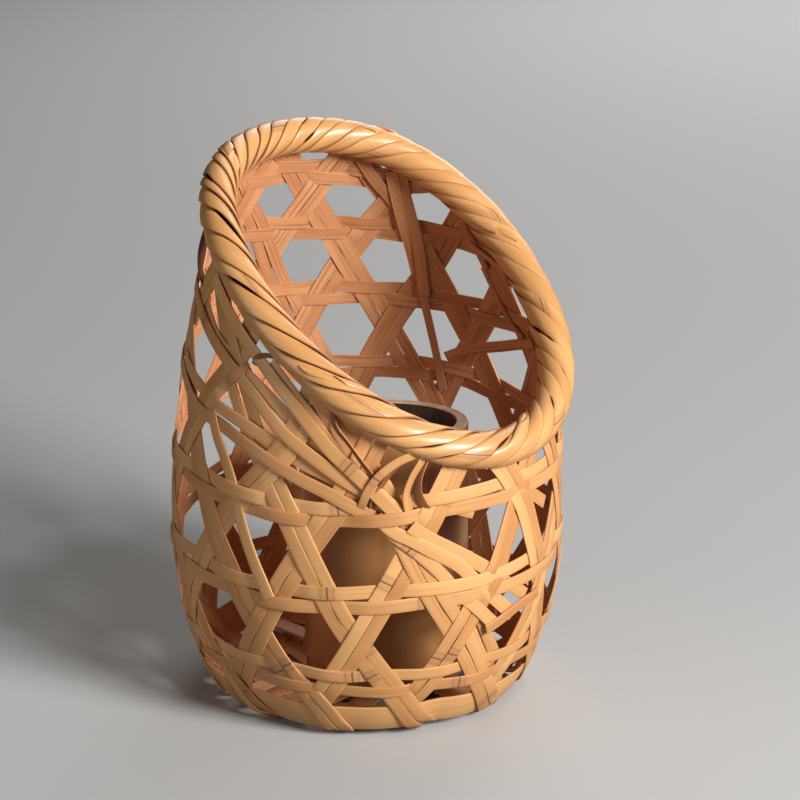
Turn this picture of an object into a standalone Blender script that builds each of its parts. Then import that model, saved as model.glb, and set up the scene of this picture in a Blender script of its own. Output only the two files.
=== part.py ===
# Bamboo flower basket: an open hexagonal weave with a slanted, bound mouth,
# and a bamboo water tube standing inside it.
# Metres, +Z up. The origin is on the floor, below the middle of the whole object's box.
# The low side of the mouth faces -Y. Angles run round the basket from there towards +X.
# Each piece is shaped round the basket's own middle line and then moved by FRAME_SHIFT.

import math

import bpy
import bmesh
import numpy as np
from mathutils import Vector

# From the basket's middle line to the middle of the box round it
FRAME_SHIFT = 0.00365

# Body of the basket
BASE_RADIUS = 0.0700
BELLY_RADIUS = 0.0900
BELLY_HEIGHT = 0.088
FOOT_SHAPE = 2.4
SHOULDER_CURVE = 0.38
CORNER_REACH = 0.006

# Mouth, along the middle line of its rim
MOUTH_HEIGHT = 0.1978
MOUTH_SLANT = 0.0535
MOUTH_DIP = 0.0082
MOUTH_SKEW = 0.0025
MOUTH_RADIUS = 0.0740
MOUTH_SHIFT = 0.0138
MOUTH_OVAL = 0.0020
DRAW_IN_SHAPE = 2.4

# Splints
SPLINT_WIDTH = 0.0059
SPLINT_THICKNESS = 0.0007
PAIR_PITCH = 0.0066
LAYER_STEP = 0.0012
PAIR_COUNT = 12
BASE_LINE_OFFSETS = (0.0180, 0.0475)
BASE_BOW_SHAPE = 2.5
EDGE_STATIONS = (-0.0090, -0.0050, -0.0020, 0.0015)
OUTER_STATION_SPACING = 0.36
INNER_STATION_SPACING = 0.60

# How the pairs are turned on the base, and how far they drift round on the wall, in degrees
BASE_HEADING = -17.5
WEAVE_DRIFT = 3.5
DRIFT_FROM = -50.0

# How the flat drawing of the wall is stretched upwards
WALL_STRETCH = 1.15

# Spots where the hand weave strays from its even pattern: which families stray, the spot's
# angle in degrees and height, the turn in degrees, the rise, and the reach of the spot
WEAVE_SHIFTS = (
    ("left right ring", 165, 0.120, 0.0, 0.0060, 0.065),
    ("left right ring", 200, 0.180, 0.0, 0.0060, 0.045),
    ("left right ring", 110, 0.115, 0.0, 0.0035, 0.035),
    ("left right", 108, 0.130, 3.0, 0.0, 0.045),
    ("left right", 203, 0.170, -2.5, 0.0, 0.045),
    ("right", 178, 0.215, -2.8, 0.0, 0.032),
    ("right", 203, 0.150, -2.0, 0.0, 0.045),
    ("left", 160, 0.180, 2.2, 0.0, 0.042),
    ("left", -30, 0.080, -6.0, 0.0, 0.035),
    ("left", -6, 0.105, 11.5, 0.0, 0.045),
    ("right", -78, 0.150, 8.0, 0.0, 0.038),
    ("left", -58, 0.014, 3.0, 0.0, 0.024),
    ("ring", -68, 0.116, 0.0, -0.0050, 0.045),
    ("ring", 185, 0.215, 0.0, 0.0032, 0.035),
    ("ring", 122, 0.225, 0.0, -0.0045, 0.028),
)
STRAY_DEGREE = 0.0015
STRAY_START = 0.020

# Level rings: height of each pair, and the angle where a ring that does not close ends on the left
RING_HEIGHTS = (0.032, 0.075, 0.116, 0.156, 0.192, 0.221)
RING_STATIONS = 48
OPEN_RING_END = 250
BAND_LOW = 0.0062
BAND_HIGH = 0.0196

# Rim
CORE_RADIUS = 0.0062
WRAP_THICKNESS = 0.0008
WRAP_CLEARANCE = 0.0008
WRAP_GAP = 0.0015
WRAP_STARTS = 4
WRAP_TURNS = 14
WRAP_SWING = 0.40
WRAP_TIGHTEST = 80.0
WRAP_POINTS_PER_TURN = 10
WRAP_END_TURN = 0.05
RIM_CLEARANCE = 0.0005

# Splints that run down across the low side, over the weave: layer, then angle in degrees and height
INSERTED_PATHS = (
    (1, (
        (-122, 0.150), (-112, 0.1465), (-104, 0.145), (-93, 0.1425), (-84, 0.1385),
        (-74, 0.133), (-64, 0.127), (-55, 0.1215), (-46, 0.1145))),
    (2, (
        (-124, 0.1565), (-114, 0.1555), (-105, 0.153), (-93, 0.1495), (-84, 0.146),
        (-76, 0.142), (-64, 0.134), (-55, 0.1285), (-47, 0.122), (-35, 0.113))),
    (1, (
        (-118, 0.184), (-104, 0.178), (-94, 0.171), (-86, 0.1645), (-80, 0.1585), (-75, 0.152),
        (-69, 0.145), (-64, 0.1405), (-58, 0.135), (-51, 0.128), (-43, 0.121))),
    (2, (
        (-120, 0.193), (-100, 0.1775), (-90, 0.171), (-81, 0.164), (-73, 0.157),
        (-66, 0.149), (-59, 0.141))),
    (3, (
        (-112, 0.206), (-100, 0.195), (-88, 0.1825), (-79, 0.173), (-72, 0.1645),
        (-65, 0.1555), (-54, 0.1385))),
    (2, ((-67, 0.1665), (-60, 0.157), (-54, 0.1475), (-49, 0.1375))),
    (1, (
        (-40, 0.108), (-36, 0.102), (-30, 0.094), (-24, 0.084), (-19, 0.074), (-12, 0.064),
        (-5.5, 0.0555))),
    (2, (
        (-38, 0.106), (-32, 0.101), (-26, 0.0945), (-19, 0.0865), (-12.5, 0.0755), (-5, 0.065),
        (3, 0.055))),
    (3, ((-32.5, 0.106), (-27, 0.100), (-20, 0.0925), (-12.5, 0.0845), (-4, 0.075))),
    (0, ((-92.5, 0.134), (-90, 0.127), (-87, 0.118), (-84, 0.1075), (-81, 0.095), (-75, 0.0775))),
)
TIE_PATHS = (
    (3, ((-34, 0.1385), (-39, 0.1355), (-42.5, 0.130), (-44.5, 0.1225))),
    (3, ((-31, 0.136), (-34.5, 0.126), (-34.5, 0.112))),
    (0, ((-27.0, 0.1335), (-28.5, 0.124), (-29.5, 0.112))),
)
TIE_WIDTH = 0.0035
FREE_PATH_STEP = 0.012

# Stiffeners laid inside the base
STIFFENER_WIDTH = 0.0085
STIFFENER_THICKNESS = 0.0012
STIFFENER_GAP = 0.0003
STIFFENER_SETBACK = 0.003
STIFFENER_OFFSET = 0.016

# Water tube
TUBE_RADIUS = 0.0372
TUBE_WALL = 0.0054
TUBE_HEIGHT = 0.1205
TUBE_FLOOR = 0.012
TUBE_NODE_HEIGHT = 0.010
TUBE_NODE_BULGE = 0.0012
TUBE_CENTRE = (0.0027, -0.0098)
TUBE_GAP = 0.0004
TUBE_SEGMENTS = 40

# Worked out from the sizes above
SHEET_HEIGHT = LAYER_STEP + SPLINT_THICKNESS / 2
RING_STEP_ANGLE = 180.0 / PAIR_COUNT
WRAP_RADIUS = CORE_RADIUS + WRAP_CLEARANCE + WRAP_THICKNESS / 2
ROLL_RADIUS = WRAP_RADIUS + WRAP_THICKNESS / 2
FLOOR_STACK = LAYER_STEP + SPLINT_THICKNESS / 2 + STIFFENER_GAP + STIFFENER_THICKNESS / 2
CROSS_STACK = FLOOR_STACK + STIFFENER_THICKNESS + STIFFENER_GAP
TUBE_BOTTOM = SHEET_HEIGHT + CROSS_STACK + STIFFENER_THICKNESS / 2 + TUBE_GAP

COLOURS = {
    "splint": ((0.62, 0.37, 0.16), 0.45),
    "ring": ((0.66, 0.41, 0.19), 0.45),
    "rim": ((0.72, 0.45, 0.19), 0.35),
    "inner": ((0.45, 0.23, 0.10), 0.60),
    "tube": ((0.48, 0.27, 0.10), 0.40),
}


# Shape of the basket's wall
def body_radius(height):
    below = max(0.0, 1.0 - height / BELLY_HEIGHT)
    above = max(0.0, height - BELLY_HEIGHT)
    foot = (BELLY_RADIUS - BASE_RADIUS) * below ** FOOT_SHAPE
    return BELLY_RADIUS - foot - SHOULDER_CURVE * above ** 2


def mouth_height(angle):
    slope = MOUTH_SLANT * math.cos(angle) + MOUTH_DIP * math.cos(2 * angle)
    return MOUTH_HEIGHT - slope + MOUTH_SKEW * math.sin(angle)


def mouth_radius(angle):
    return MOUTH_RADIUS + MOUTH_SHIFT * math.cos(angle) + MOUTH_OVAL * math.cos(2 * angle)


def wall_radius(angle, height):
    top = mouth_height(angle)
    drawn_in = body_radius(top) - mouth_radius(angle)
    return body_radius(height) - drawn_in * (max(height, 0.0) / top) ** DRAW_IN_SHAPE


def wall_point(angle, height):
    radius = wall_radius(angle, height)
    return Vector((radius * math.sin(angle), -radius * math.cos(angle), height))


def rim_point(angle):
    radius = mouth_radius(angle)
    return Vector((radius * math.sin(angle), -radius * math.cos(angle), mouth_height(angle)))


# The woven sheet is laid out flat: a disc for the base, and the wall as the ring around it
def flat_radius(height):
    return BASE_RADIUS + (height - SHEET_HEIGHT) * WALL_STRETCH


def flat_place(angle, height):
    reach = flat_radius(height)
    return Vector((reach * math.sin(angle), -reach * math.cos(angle)))


def strayed_place(family, degrees, height):
    turn = 0.0
    rise = 0.0
    for families, spot, level, turned, raised, reach in WEAVE_SHIFTS:
        if family not in families:
            continue
        gap = ((degrees - spot + 180) % 360 - 180) * STRAY_DEGREE
        weight = math.exp(-(gap ** 2 + (height - level) ** 2) / reach ** 2)
        weight *= min(1.0, max(0.0, height / STRAY_START))
        turn += turned * weight
        rise += raised * weight
    return flat_place(math.radians(degrees + turn), height + rise)


def sheet_point(place):
    reach = place.length
    outward = Vector((place.x, place.y, 0.0)) / max(reach, 1e-9)
    angle = math.atan2(place.x, -place.y)
    edge = wall_radius(angle, SHEET_HEIGHT)
    scaled = edge / BASE_RADIUS
    inner = outward * (reach * scaled) + Vector((0.0, 0.0, SHEET_HEIGHT))
    past = reach - BASE_RADIUS
    if past <= -CORNER_REACH:
        return inner
    if past >= CORNER_REACH:
        return wall_point(angle, SHEET_HEIGHT + past / WALL_STRETCH)
    start = outward * ((BASE_RADIUS - CORNER_REACH) * scaled) + Vector((0.0, 0.0, SHEET_HEIGHT))
    corner = outward * edge + Vector((0.0, 0.0, SHEET_HEIGHT))
    end = wall_point(angle, SHEET_HEIGHT + CORNER_REACH / WALL_STRETCH)
    share = (past + CORNER_REACH) / (2 * CORNER_REACH)
    return start * (1 - share) ** 2 + corner * 2 * share * (1 - share) + end * share ** 2


def sheet_slopes(place):
    step = 0.0004
    across = (sheet_point(place + Vector((step, 0))) - sheet_point(place - Vector((step, 0)))) / (2 * step)
    along = (sheet_point(place + Vector((0, step))) - sheet_point(place - Vector((0, step)))) / (2 * step)
    return across, along


def sheet_normal(place):
    across, along = sheet_slopes(place)
    return along.cross(across).normalized()


def shifted_place(place, move):
    across, along = sheet_slopes(place)
    matrix = np.array([tuple(across), tuple(along)]).T
    found = np.linalg.lstsq(matrix, np.array(move), rcond=None)[0]
    return place + Vector((float(found[0]), float(found[1])))


def row_points(places, offsets, index, rows, closed):
    place = places[index]
    count = len(places)
    before = places[(index - 1) % count] if closed or index > 0 else place
    after = places[(index + 1) % count] if closed or index < count - 1 else place
    travel = sheet_point(after) - sheet_point(before)
    side = sheet_normal(place).cross(travel).normalized()
    points = []
    for row in rows:
        spot = shifted_place(place, side * row)
        points.append(sheet_point(spot) + sheet_normal(spot) * offsets[index])
    return points


# Making objects
def clear_scene():
    for item in list(bpy.data.objects):
        bpy.data.objects.remove(item, do_unlink=True)


def new_material(name):
    colour, roughness = COLOURS[name]
    material = bpy.data.materials.new(name)
    material.use_nodes = True
    shader = material.node_tree.nodes["Principled BSDF"]
    shader.inputs["Base Color"].default_value = (*colour, 1.0)
    shader.inputs["Roughness"].default_value = roughness
    shader.inputs["Metallic"].default_value = 0.0
    material.diffuse_color = (*colour, 1.0)
    return material


def place_object(name, data, material):
    made = bpy.data.objects.new(name, data)
    made.location = (0.0, FRAME_SHIFT, 0.0)
    data.materials.append(material)
    basket.objects.link(made)
    return made


def ribbon(name, rows_of_points, thickness, material, closed=False):
    mesh = bpy.data.meshes.new(name)
    shape = bmesh.new()
    grid = [[shape.verts.new(point) for point in points] for points in rows_of_points]
    pairs = list(zip(grid, grid[1:]))
    if closed:
        pairs.append((grid[-1], grid[0]))
    for here, there in pairs:
        for column in range(len(here) - 1):
            shape.faces.new((here[column], there[column], there[column + 1], here[column + 1]))
    bmesh.ops.recalc_face_normals(shape, faces=shape.faces)
    shape.to_mesh(mesh)
    shape.free()
    made = place_object(name, mesh, material)
    solid = made.modifiers.new("thickness", "SOLIDIFY")
    solid.thickness = thickness
    solid.offset = 0.0
    solid.use_even_offset = True
    return made


def sheet_ribbon(name, places, offsets, width, thickness, material, closed=False, shift=0.0, columns=2):
    rows = [shift + width * (column / (columns - 1) - 0.5) for column in range(columns)]
    points = [row_points(places, offsets, index, rows, closed) for index in range(len(places))]
    return ribbon(name, points, thickness, material, closed)


# The rim's middle line, kept as points for measuring how near a splint comes to it
RIM_LINE = np.array([tuple(rim_point(math.radians(degree))) for degree in range(0, 360, 2)])


def clear_of_rim(place, side, half_width, offset):
    for reach in (-half_width, half_width):
        spot = shifted_place(place, side * reach)
        point = sheet_point(spot) + sheet_normal(spot) * offset
        gaps = RIM_LINE - np.array(tuple(point))
        if math.sqrt(float((gaps ** 2).sum(axis=1).min())) < ROLL_RADIUS + RIM_CLEARANCE + SPLINT_THICKNESS:
            return False
    return True


# Leaning splints: each crosses the base and rises on both sides
def drift(angle_degrees, level):
    amount = WEAVE_DRIFT * min(1.0, level / 2) * (1 - math.cos(math.radians(angle_degrees - DRIFT_FROM)))
    return angle_degrees - amount


def height_at_level(level):
    heights = (SHEET_HEIGHT,) + RING_HEIGHTS
    last = len(heights) - 1
    below = min(int(level), last - 1)
    return heights[below] + (heights[below + 1] - heights[below]) * (level - below)


def leaning_place(start, lean, level):
    degrees = drift(start + lean * RING_STEP_ANGLE * level, level)
    return strayed_place("right" if lean > 0 else "left", degrees, height_at_level(level))


def top_level(start, lean, shift, offset):
    level = 2.0
    step = 0.02
    while level < len(RING_HEIGHTS) + 0.9:
        place = leaning_place(start, lean, level)
        ahead = leaning_place(start, lean, level + step)
        travel = sheet_point(ahead) - sheet_point(place)
        side = sheet_normal(place).cross(travel).normalized()
        middle = shifted_place(place, side * shift)
        if not clear_of_rim(middle, side, SPLINT_WIDTH / 2, offset):
            break
        level += step
    return level - step


def wall_levels(top, spacing):
    levels = [0.15, 0.32, 0.6] if spacing < INNER_STATION_SPACING else [0.22, 0.6]
    count = max(2, round((top - 0.6) / spacing))
    levels += [0.6 + (top - 0.6) * step / count for step in range(1, count + 1)]
    return levels


# One side of a splint, from the middle of the base to its tip, as places and offsets.
# The direction it runs in sets its layer on the base; its lean sets its layer on the wall.
def splint_side(chord, end, start, lean, base_layer, wall_layer, tip):
    middle, forward, sideways, half_chord, bow = chord
    places = []
    offsets = []
    inner_shares = (0.0, 0.30, 0.62)
    edge_shares = tuple(1.0 + past / half_chord for past in EDGE_STATIONS[:3])
    for share in inner_shares + edge_shares:
        along = forward * (end * share * half_chord)
        across = sideways * (bow * (1 - share ** BASE_BOW_SHAPE))
        places.append(middle + along + across)
        offsets.append(base_layer)
    offsets[-1] = (base_layer + wall_layer) / 2
    first_level = EDGE_STATIONS[3] / (flat_radius(RING_HEIGHTS[0]) - BASE_RADIUS)
    spacing = OUTER_STATION_SPACING if wall_layer > 0 else INNER_STATION_SPACING
    for level in [first_level] + wall_levels(tip, spacing):
        places.append(leaning_place(start, lean, level))
        offsets.append(wall_layer)
    return places, offsets


def long_splint_path(right_start, left_start, base_offset, base_layer, shift):
    right_top = top_level(right_start, 1, -shift, -LAYER_STEP)
    left_top = top_level(left_start, -1, shift, LAYER_STEP)
    edge_in = flat_place(math.radians(right_start), SHEET_HEIGHT)
    edge_out = flat_place(math.radians(left_start), SHEET_HEIGHT)
    forward = (edge_out - edge_in).normalized()
    sideways = Vector((-forward.y, forward.x))
    middle = (edge_in + edge_out) / 2
    edge_distance = middle.dot(sideways)
    bow = math.copysign(base_offset, edge_distance) - edge_distance
    chord = (middle, forward, sideways, (edge_out - edge_in).length / 2, bow)
    right = splint_side(chord, -1, right_start, 1, base_layer, -LAYER_STEP, right_top)
    left = splint_side(chord, 1, left_start, -1, base_layer, LAYER_STEP, left_top)
    places = right[0][:0:-1] + left[0]
    offsets = right[1][:0:-1] + left[1]
    return places, offsets


def make_long_splints(material):
    spread = 360.0 / PAIR_COUNT
    number = 0
    for direction in range(3):
        heading = BASE_HEADING + 60.0 * direction
        base_layer = LAYER_STEP * (1 - direction)
        for line in range(PAIR_COUNT // 3):
            near = (spread + RING_STEP_ANGLE) / 2 + spread * (line % 2)
            turned = heading + (180.0 if line >= 2 else 0.0)
            left_start = turned + near
            right_start = turned + 180.0 - near
            base_offset = BASE_LINE_OFFSETS[line % 2]
            number += 1
            for half, side in (("a", -1), ("b", 1)):
                shift = side * PAIR_PITCH / 2
                places, offsets = long_splint_path(right_start, left_start, base_offset, base_layer, shift)
                name = "long_splint_%02d_%s" % (number, half)
                sheet_ribbon(name, places, offsets, SPLINT_WIDTH, SPLINT_THICKNESS, material, shift=shift)


# Level rings: whole hoops below the mouth, open bows above its low side
def ring_span(height, shift):
    def is_clear(degree):
        place = strayed_place("ring", degree, height)
        ahead = strayed_place("ring", degree + 1, height)
        travel = sheet_point(ahead) - sheet_point(place)
        side = sheet_normal(place).cross(travel).normalized()
        middle = shifted_place(place, side * shift)
        if sheet_point(middle).z > mouth_height(math.radians(degree)):
            return False
        return clear_of_rim(middle, side, SPLINT_WIDTH / 2, 0.0)

    if all(is_clear(degree) for degree in range(0, 360, 3)):
        return None
    first = next(degree / 2 for degree in range(0, 720) if is_clear(degree / 2))
    last = next(degree / 2 for degree in range(2 * OPEN_RING_END, 0, -1) if is_clear(degree / 2))
    return first, last


def make_rings(material):
    for number, ring_height in enumerate(RING_HEIGHTS, start=1):
        for half, side in (("lower", -1), ("upper", 1)):
            shift = side * PAIR_PITCH / 2
            span = ring_span(ring_height, shift)
            name = "ring_%d_%s" % (number, half)
            closed = span is None
            if closed:
                degrees = [360.0 * step / RING_STATIONS for step in range(RING_STATIONS)]
            else:
                count = max(6, round(RING_STATIONS * (span[1] - span[0]) / 360.0))
                degrees = [span[0] + (span[1] - span[0]) * step / count for step in range(count + 1)]
            places = [strayed_place("ring", degree, ring_height) for degree in degrees]
            offsets = [0.0] * len(places)
            sheet_ribbon(name, places, offsets, SPLINT_WIDTH, SPLINT_THICKNESS, material, closed, shift)


def make_base_band(material):
    middle = (BAND_LOW + BAND_HIGH) / 2
    width = (BAND_HIGH - BAND_LOW) * WALL_STRETCH
    places = [flat_place(2 * math.pi * step / RING_STATIONS, middle) for step in range(RING_STATIONS)]
    offsets = [0.0] * RING_STATIONS
    sheet_ribbon("base_band", places, offsets, width, SPLINT_THICKNESS, material, True, columns=3)


# Free paths on the wall, smooth through their points
def smooth_path(points):
    knots = [flat_place(math.radians(angle), height) for angle, height in points]
    lengths = [0.0]
    for here, there in zip(knots, knots[1:]):
        lengths.append(lengths[-1] + (there - here).length)
    count = max(3, round(lengths[-1] / FREE_PATH_STEP))
    places = []
    for step in range(count + 1):
        target = lengths[-1] * step / count
        part = max(index for index, length in enumerate(lengths[:-1]) if length <= target)
        share = (target - lengths[part]) / (lengths[part + 1] - lengths[part])
        before = knots[max(part - 1, 0)]
        after = knots[min(part + 2, len(knots) - 1)]
        here, there = knots[part], knots[part + 1]
        lean_here = (there - before) / 2
        lean_there = (after - here) / 2
        square, cube = share ** 2, share ** 3
        places.append(
            here * (2 * cube - 3 * square + 1) + lean_here * (cube - 2 * square + share)
            + there * (3 * square - 2 * cube) + lean_there * (cube - square)
        )
    return places


def make_inserted_splints(material):
    for number, (layer, points) in enumerate(INSERTED_PATHS, start=1):
        places = smooth_path(points)
        offsets = [LAYER_STEP * (1 + layer)] * len(places)
        name = "inserted_splint_%d" % number
        sheet_ribbon(name, places, offsets, SPLINT_WIDTH, SPLINT_THICKNESS, material)


def make_rim_ties(material):
    for number, (layer, points) in enumerate(TIE_PATHS, start=1):
        places = smooth_path(points)
        offsets = [LAYER_STEP * (1 + layer)] * len(places)
        sheet_ribbon("rim_tie_%d" % number, places, offsets, TIE_WIDTH, SPLINT_THICKNESS, material)


# Stiffeners: two side by side and one across them, lying flat inside the base
def make_stiffeners(material):
    layout = (
        (0.0, -STIFFENER_OFFSET, FLOOR_STACK),
        (0.0, STIFFENER_OFFSET, FLOOR_STACK),
        (90.0, 0.0, CROSS_STACK),
    )
    reach = BASE_RADIUS - CORNER_REACH - STIFFENER_SETBACK
    for number, (heading, aside, depth) in enumerate(layout, start=1):
        turn = math.radians(heading)
        forward = Vector((math.cos(turn), math.sin(turn)))
        sideways = Vector((-forward.y, forward.x))
        stop = math.sqrt(reach ** 2 - (abs(aside) + STIFFENER_WIDTH / 2) ** 2)
        places = [forward * distance + sideways * aside for distance in (-stop, 0.0, stop)]
        name = "base_stiffener_%d" % number
        sheet_ribbon(name, places, [-depth] * 3, STIFFENER_WIDTH, STIFFENER_THICKNESS, material)


# Rim: a core hoop and the splints bound round it
def rim_frames():
    count = 720
    angles = [2 * math.pi * step / count for step in range(count + 1)]
    points = [rim_point(angle) for angle in angles]
    lengths = [0.0]
    for here, there in zip(points, points[1:]):
        lengths.append(lengths[-1] + (there - here).length)
    return angles, lengths


RIM_ANGLES, RIM_LENGTHS = rim_frames()
RIM_LENGTH = RIM_LENGTHS[-1]


def rim_frame(distance):
    angle = float(np.interp(distance, RIM_LENGTHS, RIM_ANGLES))
    step = 0.01
    centre = rim_point(angle)
    travel = (rim_point(angle + step) - rim_point(angle - step)).normalized()
    outward = Vector((math.sin(angle), -math.cos(angle), 0.0))
    outward = (outward - travel * outward.dot(travel)).normalized()
    return centre, travel, outward, outward.cross(travel)


def roll_point(distance, turn, radius):
    centre, travel, outward, upward = rim_frame(distance)
    return centre + (outward * math.cos(turn) + upward * math.sin(turn)) * radius


def make_rim_core(material):
    curve = bpy.data.curves.new("rim_core", "CURVE")
    curve.dimensions = "3D"
    curve.bevel_depth = CORE_RADIUS
    curve.bevel_resolution = 3
    line = curve.splines.new("POLY")
    line.points.add(RING_STATIONS - 1)
    for number, point in enumerate(line.points):
        point.co = (*roll_point(RIM_LENGTH * number / RING_STATIONS, 0.0, 0.0), 1.0)
    line.use_cyclic_u = True
    place_object("rim_core", curve, material)


# The turns lie closest together near one side of the rim and widest apart opposite it
def turns_made(distance):
    share = distance / RIM_LENGTH
    phase = math.radians(WRAP_TIGHTEST)
    swing = math.sin(2 * math.pi * share - phase) + math.sin(phase)
    return WRAP_TURNS * (share + WRAP_SWING * swing / (2 * math.pi))


WRAP_DISTANCES = [RIM_LENGTH * 1.1 * step / 1100 for step in range(1101)]
WRAP_TURNS_MADE = [turns_made(distance) for distance in WRAP_DISTANCES]


def wrap_rows(start):
    steps = WRAP_TURNS * WRAP_POINTS_PER_TURN
    rows = []
    for step in range(steps + 1):
        made = (WRAP_TURNS - WRAP_END_TURN) * step / steps
        turn = 2 * math.pi * made
        distance = float(np.interp(made + start / WRAP_STARTS, WRAP_TURNS_MADE, WRAP_DISTANCES))
        nearby = 0.0005
        lead = 2 * nearby / (turns_made(distance + nearby) - turns_made(distance - nearby))
        climb = math.atan2(lead, 2 * math.pi * WRAP_RADIUS)
        width = lead / WRAP_STARTS * math.cos(climb) - WRAP_GAP
        ahead = roll_point((distance + nearby) % RIM_LENGTH, turn, WRAP_RADIUS)
        behind = roll_point((distance - nearby) % RIM_LENGTH, turn, WRAP_RADIUS)
        squeeze = min(1.0, (ahead - behind).length / (2 * nearby))
        half = width * squeeze / 2
        points = []
        for side in (-1, 1):
            move = side * half * math.cos(climb) / squeeze
            twist = side * half * math.sin(climb) / WRAP_RADIUS
            points.append(roll_point((distance + move) % RIM_LENGTH, turn - twist, WRAP_RADIUS))
        rows.append(points)
    return rows


def least_gap(rows):
    parts = 8
    edges = []
    for here, there in zip(rows, rows[1:]):
        for step in range(parts):
            share = step / parts
            edges.append([tuple(a.lerp(b, share)) for a, b in zip(here, there)])
    edges.append([tuple(point) for point in rows[-1]])
    edges = np.array(edges)
    least = 1.0
    skip = parts * WRAP_POINTS_PER_TURN // 2
    for index in range(len(edges) - skip):
        for side in (0, 1):
            gaps = np.linalg.norm(edges[index + skip:] - edges[index, side], axis=2)
            least = min(least, float(gaps.min()))
    return least - WRAP_THICKNESS


def make_rim_wraps(material):
    for start in range(WRAP_STARTS):
        rows = wrap_rows(start)
        print("rim_wrap_%d least gap to itself: %.2f mm" % (start + 1, least_gap(rows) * 1000))
        ribbon("rim_wrap_%d" % (start + 1), rows, WRAP_THICKNESS, material)


# Water tube: a length of bamboo, open at the top, closed by its node near the foot
def make_water_tube(material):
    foot_radius = TUBE_RADIUS - 0.0006
    node = TUBE_NODE_HEIGHT
    profile = (
        (TUBE_RADIUS - TUBE_WALL, TUBE_HEIGHT),
        (TUBE_RADIUS - 0.0008, TUBE_HEIGHT),
        (TUBE_RADIUS, TUBE_HEIGHT - 0.0008),
        (TUBE_RADIUS, node + 0.004),
        (TUBE_RADIUS + TUBE_NODE_BULGE, node),
        (foot_radius, node - 0.003),
        (foot_radius, 0.0008),
        (foot_radius - 0.0008, 0.0),
    )
    inside = TUBE_RADIUS - TUBE_WALL
    profile = (
        (0.0, TUBE_FLOOR),
        (inside - 0.004, TUBE_FLOOR),
        (inside, TUBE_FLOOR + 0.004),
    ) + profile + ((0.0, 0.0),)
    mesh = bpy.data.meshes.new("water_tube")
    shape = bmesh.new()
    corners = [shape.verts.new((radius, 0.0, height)) for radius, height in profile]
    for here, there in zip(corners, corners[1:]):
        shape.edges.new((here, there))
    shape.to_mesh(mesh)
    shape.free()
    tube = place_object("water_tube", mesh, material)
    screw = tube.modifiers.new("turned", "SCREW")
    screw.steps = TUBE_SEGMENTS
    screw.render_steps = TUBE_SEGMENTS
    screw.use_merge_vertices = True
    screw.merge_threshold = 0.00005
    screw.use_smooth_shade = True
    tube.location = (TUBE_CENTRE[0], TUBE_CENTRE[1] + FRAME_SHIFT, TUBE_BOTTOM)


clear_scene()
basket = bpy.data.collections.new("bamboo_flower_basket")
bpy.context.scene.collection.children.link(basket)
splint_material = new_material("splint")
ring_material = new_material("ring")
rim_material = new_material("rim")
inner_material = new_material("inner")
tube_material = new_material("tube")

make_long_splints(splint_material)
make_rings(ring_material)
make_base_band(ring_material)
make_inserted_splints(splint_material)
make_rim_ties(rim_material)
make_stiffeners(inner_material)
make_rim_core(inner_material)
make_rim_wraps(rim_material)
make_water_tube(tube_material)
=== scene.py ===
# Looks of the bamboo flower basket.
import math
from itertools import combinations
from types import SimpleNamespace

import bpy
import bmesh
import numpy as np
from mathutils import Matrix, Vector


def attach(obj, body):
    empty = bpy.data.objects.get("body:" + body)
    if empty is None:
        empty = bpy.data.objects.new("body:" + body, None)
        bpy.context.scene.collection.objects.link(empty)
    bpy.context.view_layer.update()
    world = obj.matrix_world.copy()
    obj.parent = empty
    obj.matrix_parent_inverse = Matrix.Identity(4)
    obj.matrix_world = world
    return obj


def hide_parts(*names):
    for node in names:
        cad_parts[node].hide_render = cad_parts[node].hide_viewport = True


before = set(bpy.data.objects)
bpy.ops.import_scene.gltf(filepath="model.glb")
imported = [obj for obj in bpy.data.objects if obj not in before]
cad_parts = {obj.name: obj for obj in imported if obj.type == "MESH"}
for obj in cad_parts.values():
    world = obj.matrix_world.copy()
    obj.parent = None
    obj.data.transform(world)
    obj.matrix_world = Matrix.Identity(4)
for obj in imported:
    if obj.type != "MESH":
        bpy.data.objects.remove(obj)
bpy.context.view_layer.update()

# Sizes shared with the construction, in metres
FRAME_SHIFT = 0.00365
BASE_RADIUS = 0.07
BELLY_RADIUS = 0.09
BELLY_HEIGHT = 0.088
FOOT_SHAPE = 2.4
SHOULDER_CURVE = 0.38
CORNER_REACH = 0.006
MOUTH_HEIGHT = 0.1978
MOUTH_SLANT = 0.0535
MOUTH_DIP = 0.0082
MOUTH_SKEW = 0.0025
MOUTH_RADIUS = 0.074
MOUTH_SHIFT = 0.0138
MOUTH_OVAL = 0.002
DRAW_IN_SHAPE = 2.4
SHEET_HEIGHT = 0.00155
WALL_STRETCH = 1.15
SPLINT_WIDTH = 0.0059
SPLINT_THICKNESS = 0.00075
PAIR_PITCH = 0.006
PAIR_COUNT = 12
LEVEL_STEP_ANGLE = 15.0
RING_HEIGHTS = (0.032, 0.075, 0.116, 0.156, 0.192, 0.221)
OPEN_RING_END = -110.0
BASE_LINE_OFFSETS = (0.018, 0.0475)
BASE_BOW_SHAPE = 2.5
WEAVE_DRIFT = 3.5
DRIFT_FROM = -50.0
ROLL_RADIUS = 0.0078
WRAP_TURNS = 7
WRAP_STARTS = 6
WRAP_NODES = 4
# Where the binding is wound closer: times per lap, how much, degrees round the mouth where closest
WRAP_SWINGS = ((1, 0.22, 130.0), (2, 0.22, 5.0))
TUBE_CENTRE = (0.0027, -0.0098)
TUBE_BOTTOM = 0.0065
TUBE_RADIUS = 0.0372
TUBE_HEIGHT = 0.1195
TUBE_CUT_TILT = 4.7
TUBE_WALL = 0.0054

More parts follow.
